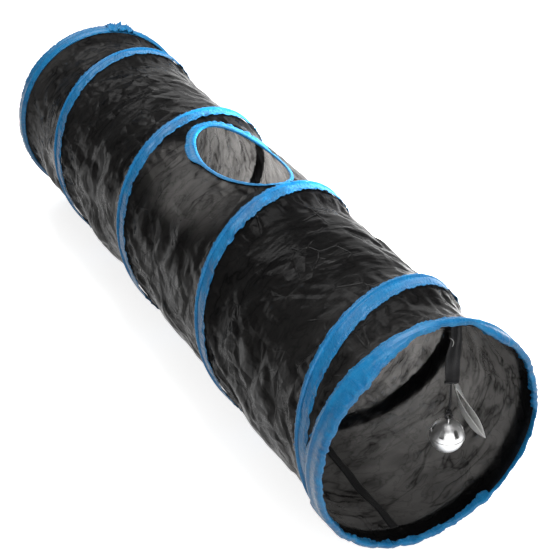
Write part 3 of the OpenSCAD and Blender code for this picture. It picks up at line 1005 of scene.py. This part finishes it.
def satin(name, base, deep, sheen_colour, roughness=0.27):
    """Blue satin ribbon: fine ribs across it, crinkles along its sewn edges, stitches in its colour, and
    painted pale sheen streaks along it.
    """
    s = Shader(name)
    s.set(Specular_IOR_Level=0.34, Anisotropic=0.4)
    edge = part_of(s, "tape", 2)
    cloud = s.noise(s.place((1.0, 0.8, 0.0), "tape"), 60.0, 4.0, 0.55, 0.8)
    crinkle = s.noise(s.place((1.0, 0.25, 0.0), "tape"), 330.0, 4.0, 0.6, 1.0)
    colour = s.mix(s.ramp(cloud, (0.3, 0.0), (0.7, 1.0)), deep, base)
    # painted sheen: thin pale streaks along the tape, where the satin would catch the light
    sheen_streak = s.noise(s.place((0.25, 1.0, 0.0), "tape"), 900.0, 2.0, 0.5)
    colour = s.mix(s.maths("MULTIPLY", s.ramp(sheen_streak, (0.45, 0.0), (0.75, 1.0)), 0.14), colour, sheen_colour)
    thread = s.wave(s.place((1.0, 0.0, 0.0), "tape"), 105.0, "X")
    band = s.ramp(edge, (0.50, 0.0), (0.60, 1.0), (0.78, 1.0), (0.88, 0.0))
    sewn = s.maths("MULTIPLY", band, s.ramp(thread, (0.45, 0.0), (0.7, 1.0)))
    colour = s.mix(s.maths("MULTIPLY", sewn, 0.5), colour, deep)
    s.feed("Base Color", colour)
    s.feed("Roughness", s.ramp(crinkle, (0.3, roughness - 0.06), (0.7, roughness + 0.1)))
    ribs = s.wave(s.place((1.0, 0.0, 0.0), "tape"), 620.0, "X")
    normal = s.bump(ribs, 0.05, 0.0002)
    crush = s.maths("MULTIPLY", crinkle, s.ramp(edge, (0.0, 0.25), (0.6, 1.0)))
    normal = s.bump(crush, 0.45, 0.0022, normal)
    normal = s.bump(cloud, 0.25, 0.003, normal)
    normal = s.bump(sewn, 0.3, 0.0005, normal)
    s.feed("Normal", normal)
    return s.material


def woven_black(name, colour, rib_scale, attribute="tape"):
    s = Shader(name)
    s.set(Specular_IOR_Level=0.25, Sheen_Weight=0.1)
    place = s.place(1.0, attribute)
    grain = s.noise(place, 420.0, 3.0)
    s.feed("Base Color", shades(s, grain, colour, 0.6, 1.5))
    s.feed("Roughness", s.ramp(grain, (0.3, 0.55), (0.7, 0.8)))
    ribs = s.wave(s.place((1.0, 0.0, 0.0), attribute), rib_scale, "X")
    rows = s.wave(s.place((0.0, 1.0, 0.0), attribute), rib_scale, "Y")
    normal = s.bump(s.maths("MULTIPLY", ribs, rows), 0.5, 0.0005)
    s.feed("Normal", s.bump(grain, 0.2, 0.0006, normal))
    return s.material


def braided(name, colour):
    """Braided cord: two sets of fine diagonal strands."""
    s = Shader(name)
    s.set(Specular_IOR_Level=0.3)
    place = s.place((1.0, 1.0, 1.0))
    one = s.wave(place, 420.0, "DIAGONAL")
    other = s.wave(s.place((1.0, 1.0, -1.0)), 420.0, "DIAGONAL")
    braid = s.maths("MAXIMUM", one, other)
    s.feed("Base Color", shades(s, braid, colour, 0.4, 1.6))
    s.feed("Roughness", s.ramp(braid, (0.2, 0.8), (0.9, 0.5)))
    s.feed("Normal", s.bump(braid, 0.6, 0.0004))
    return s.material


def metal(name, colour, roughness, wear=0.12, scale=220.0):
    """Plated metal with faint scratches and a little haze."""
    s = Shader(name)
    s.set(Metallic=1.0)
    place = s.place(1.0)
    haze = s.noise(place, scale, 4.0, 0.6)
    scratch = s.noise(s.place((1.0, 0.08, 1.0)), scale * 6, 2.0)
    s.feed("Base Color", shades(s, haze, colour, 0.86, 1.0))
    s.feed("Roughness", s.ramp(haze, (0.3, roughness), (0.75, roughness + wear)))
    normal = s.bump(scratch, 0.03, 0.0002)
    s.feed("Normal", s.bump(haze, 0.03, 0.0006, normal))
    return s.material


def label_satin():
    """White woven satin with a worn grey bloom; nothing is printed on it."""
    s = Shader("label_satin")
    s.set(Specular_IOR_Level=0.4, Sheen_Weight=0.2)
    cloud = s.noise(s.place(1.0, "tape"), 90.0, 4.0)
    s.feed("Base Color", s.mix(cloud, (0.66, 0.66, 0.65), (0.92, 0.92, 0.90)))
    s.feed("Roughness", s.ramp(cloud, (0.3, 0.42), (0.7, 0.6)))
    weft = s.wave(s.place((1.0, 0.0, 0.0), "tape"), 700.0, "X")
    normal = s.bump(weft, 0.1, 0.0002)
    s.feed("Normal", s.bump(cloud, 0.3, 0.002, normal))
    return s.material


def thread_material(name, colour):
    s = Shader(name)
    s.set(Specular_IOR_Level=0.3)
    twist = s.wave(s.place((1.0, 1.0, 1.0)), 1400.0, "DIAGONAL")
    s.feed("Base Color", shades(s, twist, colour, 0.55, 1.0))
    s.feed("Roughness", s.ramp(twist, (0.2, 0.7), (0.8, 0.45)))
    s.feed("Normal", s.bump(twist, 0.3, 0.0002))
    return s.material


def paint(piece, material):
    piece.data.materials.clear()
    piece.data.materials.append(material)


# ------------------------------------------------------------------ building and riding
def dress(piece, material, body, slot, *nodes):
    """Gives a piece its material, the body it rides on and the CAD nodes it stands for; slot is not used."""
    paint(piece, material)
    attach(piece, body)
    if nodes:
        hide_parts(*nodes)


def soft_tube_piece(piece, material, slot, *nodes):
    """A piece of the tube's wall: it rides on the mouth's end."""
    dress(piece, material, "mouth_end", slot, *nodes)
    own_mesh(piece)


black_taffeta = taffeta()
# the last colour of each satin is its painted sheen
blue = satin("blue_satin", (0.011, 0.235, 0.53), (0.010, 0.17, 0.43), (0.20, 0.58, 0.80))
rim_blue = satin("rim_satin", (0.016, 0.265, 0.58), (0.010, 0.175, 0.44), (0.20, 0.58, 0.80), 0.22)
black_seam = woven_black("woven_black_tape", (0.004, 0.004, 0.005), 260.0)
black_ribbon = woven_black("woven_black_ribbon", (0.010, 0.010, 0.011), 300.0)
elastic = braided("braided_elastic", (0.010, 0.010, 0.011))
chrome = metal("bell_chrome", (0.93, 0.93, 0.93), 0.36)
steel = metal("spring_steel", (0.40, 0.41, 0.43), 0.28, 0.15, 90.0)
pellet_steel = metal("pellet_steel", (0.20, 0.20, 0.21), 0.45, 0.2)
alloy = metal("ferrule_alloy", (0.55, 0.55, 0.56), 0.38, 0.15)
white_satin = label_satin()
white_thread = thread_material("white_thread", (0.75, 0.75, 0.73))

# fabric tube
fabric = fabric_tube()
surface = fabric_surface(fabric)
soft_tube_piece(fabric, black_taffeta, "tube_fabric", "fabric_tube")

# casings of the spiral, in turns: each strip ends just short of the lengthwise seam
strips = [(0.0, SEAM_TURN - 0.002), (SEAM_TURN + 0.002, SEAM_TURN + 0.998),
          (SEAM_TURN + 1.002, SEAM_TURN + 1.998), (SEAM_TURN + 2.002, COIL_TURNS)]
for number, (start, end) in enumerate(strips, 1):
    strip = casing(f"casing_tape_{number}", start, end, 100 + 10 * number)
    soft_tube_piece(strip, blue, "blue_tape", f"coil_casing_{number}")

# rims
mouth_rim = rim("mouth_rim_tape", 1, 31)
dress(mouth_rim, rim_blue, "mouth_end", "blue_tape", "mouth_rim_binding")
far_rim = rim("far_rim_tape", -1, 41)
dress(far_rim, rim_blue, "far_end", "blue_tape", "far_rim_binding")
dress(join_flap(), rim_blue, "far_end", "blue_tape", "far_binding_join")

# seam and peephole
soft_tube_piece(seam_tape(surface), black_seam, "black_tape", "lengthwise_seam_tape")
soft_tube_piece(peephole_tape(edge_after(fabric)), blue, "blue_tape", "peephole_binding")

# ribbon, cord and knot
roof = AXIS_Z + math.sqrt((FABRIC_R - 0.0022) ** 2 - BELL_Y ** 2)
dress(ribbon(roof), black_ribbon, "ribbon", "black_ribbon", "bell_ribbon")
dress(ribbon_hem(), black_ribbon, "ribbon", "black_ribbon")
dress(loose_thread(), white_thread, "ribbon", "label_satin")

drop = at_bell(bell_elastic())
cord = curve_piece("elastic_cord", drop, CORD_D / 2)
dress(cord, elastic, "cord", "black_elastic", "bell_cord")
knot = tied_knot()
dress(knot, elastic, "cord", "black_elastic", "bell_cord_knot")
loop_r = (KNOT_Z - 0.0027 - LINK_Z) / 2
eye = curve_piece("cord_eye", at_bell(round_loop(LINK_Z + loop_r, loop_r, 95, 445, 40)), CORD_D / 2)
dress(eye, elastic, "cord", "black_elastic")

# spiral wire, CAD nodes that stay, and label
soft_tube_piece(spring_wire(), steel, "spring_steel", "coil_wire")
for material, names in ((chrome, ("bell_upper_shell", "bell_lower_shell", "bell_loop")),
                        (pellet_steel, ("bell_pellet",)),
                        (steel, ("mouth_hoop_wire", "far_hoop_wire")),
                        (alloy, ("mouth_ferrule", "far_ferrule"))):
    for name in names:
        paint(frame["nodes"][name], material)

label = folded_label()
dress(label, white_satin, "label", "label_satin", "care_label")


# ------------------------------------------------------------------ floor, light and picture
def floor():
    size = 30.0
    piece = new_piece("floor", [(-size, -size, 0), (size, -size, 0), (size, size, 0), (-size, size, 0)],
                      [(0, 1, 2, 3)], smooth=False)
    s = Shader("pale_floor")
    s.set(Roughness=0.9, Specular_IOR_Level=0.1)
    cloud = s.noise(s.place(1.0), 1.5, 2.0)
    s.feed("Base Color", s.mix(cloud, (0.86, 0.86, 0.86), (0.9, 0.9, 0.9)))
    s.bsdf.inputs["Emission Color"].default_value = (1, 1, 1, 1)
    s.bsdf.inputs["Emission Strength"].default_value = 0.8
    paint(piece, s.material)
    # matt surfaces don't see the white floor, but its light still comes in through the fabric
    piece.visible_diffuse = False


def softbox(name, place, target, size, power):
    data = bpy.data.lights.new(name, "AREA")
    data.shape = "RECTANGLE"
    data.size = size[0]
    data.size_y = size[1]
    data.energy = power
    lamp = add_object(name, data)
    lamp.location = place
    aim = Vector(target) - Vector(place)
    lamp.rotation_euler = aim.to_track_quat("-Z", "Y").to_euler()
    return lamp


def lights():
    world = bpy.data.worlds.new("studio")
    bpy.context.scene.world = world
    world.use_nodes = True
    nodes = world.node_tree.nodes
    links = world.node_tree.links
    back = nodes["Background"]
    direction = nodes.new("ShaderNodeTexCoord")
    split = nodes.new("ShaderNodeSeparateXYZ")
    ramp = nodes.new("ShaderNodeValToRGB")
    ramp.color_ramp.elements[0].position = 0.42
    ramp.color_ramp.elements[0].color = (0.60, 0.60, 0.60, 1)
    ramp.color_ramp.elements[1].position = 0.62
    ramp.color_ramp.elements[1].color = (0.85, 0.85, 0.85, 1)
    half = nodes.new("ShaderNodeMath")
    half.operation = "MULTIPLY_ADD"
    half.inputs[1].default_value = 0.5
    half.inputs[2].default_value = 0.5
    links.new(direction.outputs["Generated"], split.inputs[0])
    links.new(split.outputs[2], half.inputs[0])
    links.new(half.outputs[0], ramp.inputs[0])
    links.new(ramp.outputs[0], back.inputs["Color"])
    back.inputs["Strength"].default_value = 0.17
    middle = (0, 0, 0.12)
    softbox("key_top", (0.05, 0.25, 1.75), middle, (1.2, 0.9), 20)
    softbox("side_left", (-1.55, -0.12, 1.3), middle, (0.9, 0.6), 5)
    softbox("back_left", (-1.6, 1.35, 0.72), (0, 0, 0.2), (2.0, 0.9), 5.5)
    behind = softbox("behind", (-0.10, 0.95, 0.34), (-0.02, 0.12, 0.09), (0.3, 0.25), 6.5)
    behind.data.spread = math.radians(46)
    behind.visible_glossy = False
    softbox("front", (1.6, -0.3, 0.62), (0.42, 0, 0.1), (1.2, 0.9), 10)


floor()
lights()
view = bpy.context.scene.view_settings
view.view_transform = "Standard"
view.look = "None"
view.exposure = 0.0

for obj in bpy.data.objects:
    if obj.type == "MESH" and "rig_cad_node" in obj:
        obj.data.polygons.foreach_set("use_smooth", [True] * len(obj.data.polygons))

bpy.context.view_layer.update()
